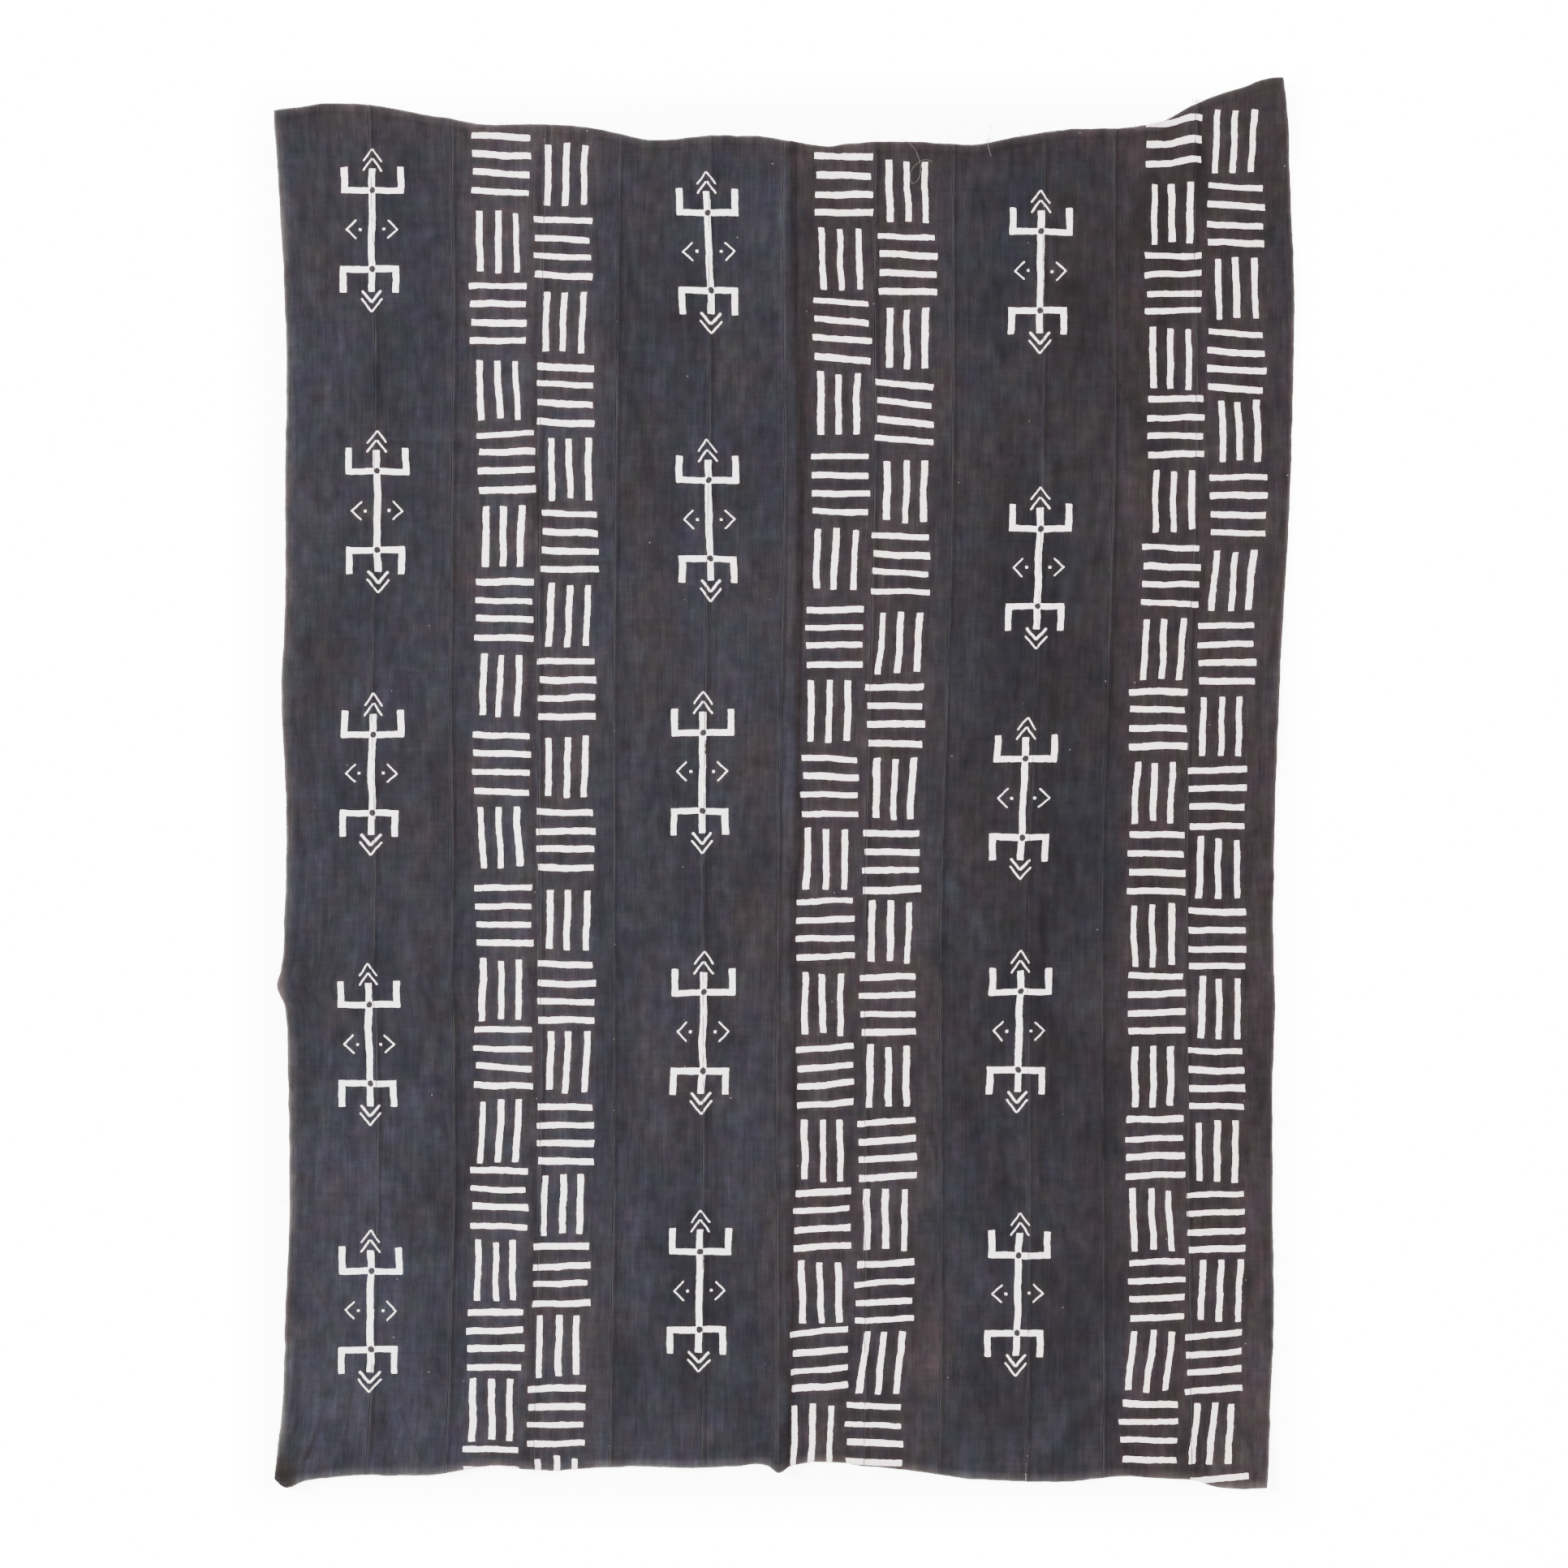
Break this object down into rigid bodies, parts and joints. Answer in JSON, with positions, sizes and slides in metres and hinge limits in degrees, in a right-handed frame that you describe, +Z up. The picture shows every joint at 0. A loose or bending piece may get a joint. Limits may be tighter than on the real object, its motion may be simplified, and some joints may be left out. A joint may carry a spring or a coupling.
{
  "type": "mud cloth",
  "caption": "Handwoven cotton mud cloth of narrow strips joined edge to edge, laid flat with soft creases, dark with cream figure and bar marks.",
  "frame": {"origin": "centre of the cloth's box, on the surface it lies on", "axes": "+Y along the strips towards the top hem, +X across them to the right, +Z up off the surface"},
  "size_m": [1.135, 1.5703, 0.0138],
  "materials": {
    "dyed_cotton": "matte"
  },
  "bodies": {
    "root": {"strip_01": "dyed_cotton", "strip_02": "dyed_cotton", "strip_03": "dyed_cotton", "strip_04": "dyed_cotton", "strip_05": "dyed_cotton", "strip_06": "dyed_cotton", "strip_07": "dyed_cotton", "strip_08": "dyed_cotton", "strip_09": "dyed_cotton", "strip_10": "dyed_cotton", "strip_11": "dyed_cotton", "strip_12": "dyed_cotton"}
  },
  "joints": []
}
